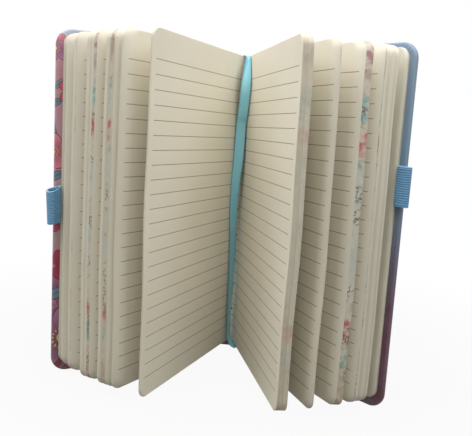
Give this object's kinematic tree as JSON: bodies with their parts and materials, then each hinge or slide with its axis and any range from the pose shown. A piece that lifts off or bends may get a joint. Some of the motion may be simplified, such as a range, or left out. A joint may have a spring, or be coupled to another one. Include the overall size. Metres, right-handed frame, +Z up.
{
  "type": "hardcover notebook",
  "caption": "Hardcover notebook of ruled pages with a printed wrap, a ribbon marker and two elastic pen loops, standing open with its pages fanned.",
  "frame": {"origin": "foot of the spine, in the middle of its width and thickness", "axes": "+Z up along the spine, +X towards the back cover, -Y out of the open pages"},
  "size_m": [0.1842, 0.1037, 0.1855],
  "materials": {
    "pages": "matte",
    "endpaper": "matte",
    "thread": "matte",
    "lining": "matte",
    "ribbon": "satin",
    "card": "matte",
    "wrap": "satin",
    "elastic": "matte"
  },
  "bodies": {
    "block": {"text_block": "pages", "front_flyleaf": "endpaper", "back_flyleaf": "endpaper", "sewing_thread": "thread", "spine_lining": "lining", "ribbon_marker": "ribbon", "spine_stiffener": "card", "spine_skin": "wrap"},
    "front_cover": {"front_board": "card", "front_cover_skin": "wrap", "front_pastedown": "endpaper", "front_pen_loop": "elastic"},
    "back_cover": {"back_board": "card", "back_cover_skin": "wrap", "back_pastedown": "endpaper", "back_pen_loop": "elastic"}
  },
  "joints": [
    {"name": "front_cover_joint", "type": "hinge", "parent": "block", "child": "front_cover", "pos_m": [-0.01043, -0.00475, 0.09], "axis": [0, 0, -1], "range_deg": [0, 109]},
    {"name": "back_cover_joint", "type": "hinge", "parent": "block", "child": "back_cover", "pos_m": [0.01043, -0.00475, 0.09], "axis": [0, 0, 1], "range_deg": [0, 109]}
  ]
}
